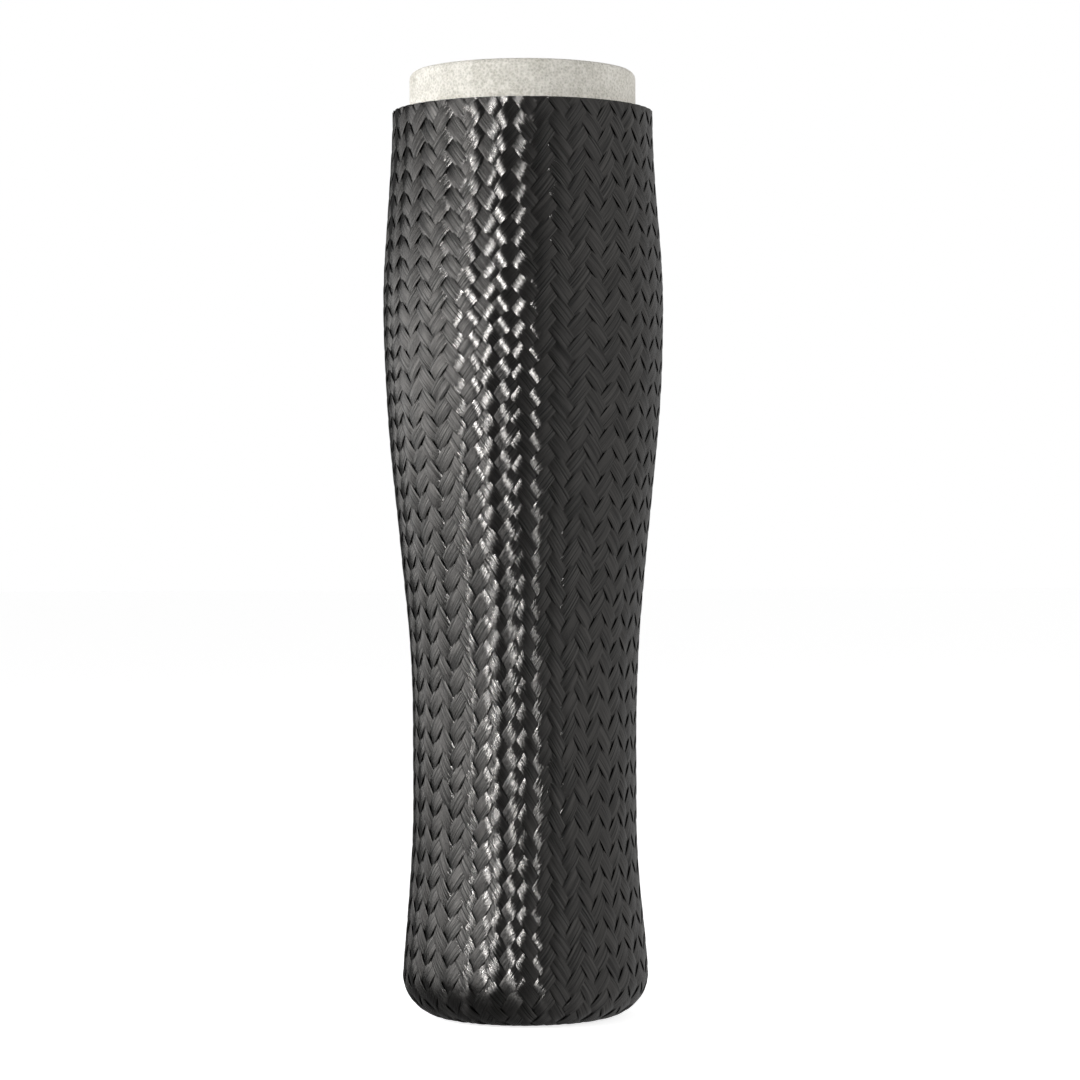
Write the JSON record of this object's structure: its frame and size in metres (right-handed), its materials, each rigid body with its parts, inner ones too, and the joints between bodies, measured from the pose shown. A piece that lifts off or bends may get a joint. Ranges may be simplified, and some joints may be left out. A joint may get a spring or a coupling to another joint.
{
  "type": "prosthetic leg shank",
  "caption": "Tapered round prosthetic leg shank: braided carbon sleeves over a rigid foam core with a bare foam stub on top, a pylon tube inside and an adapter at each end.",
  "frame": {"origin": "centre of the distal face, on the shank's long axis, where the foot bolts on", "axes": "+Z along the shank from the foot end to the socket end; +Y towards the back, where the clamp key slot opens; +X to the right seen from the front"},
  "size_m": [0.1188, 0.1188, 0.4],
  "materials": {
    "foam": "open-grained rigid foam, matte",
    "wood": "sanded",
    "nylon": "matte",
    "tube_aluminium": "anodised satin",
    "black_plastic": "matte",
    "adapter_aluminium": "machined, bead blasted",
    "pin_steel": "zinc plated",
    "ring_aluminium": "turned",
    "screw_steel": "black oxide",
    "carbon_inner": "braided carbon fibre, satin",
    "carbon_outer": "braided carbon fibre, satin"
  },
  "bodies": {
    "shank": {"foam_core": "foam", "ankle_block": "wood", "block_dowels": "wood", "upper_tube_bush": "nylon", "pylon_tube": "tube_aluminium", "tube_plug": "black_plastic", "foot_adapter": "adapter_aluminium", "adapter_cross_pin": "pin_steel", "end_ring": "ring_aluminium", "ring_screws": "screw_steel", "braid_ply_1": "carbon_inner", "braid_ply_2": "carbon_inner", "braid_ply_3": "carbon_inner", "braid_ply_4": "carbon_outer"},
    "adapter": {"socket_adapter": "adapter_aluminium", "clamp_screw": "screw_steel", "clamp_nut": "pin_steel"}
  },
  "joints": [
    {"name": "adapter_swivel", "type": "hinge", "parent": "shank", "child": "adapter", "pos_m": [0, 0, 0.386], "axis": [0, 0, 1], "range_deg": [-15, 15]}
  ]
}
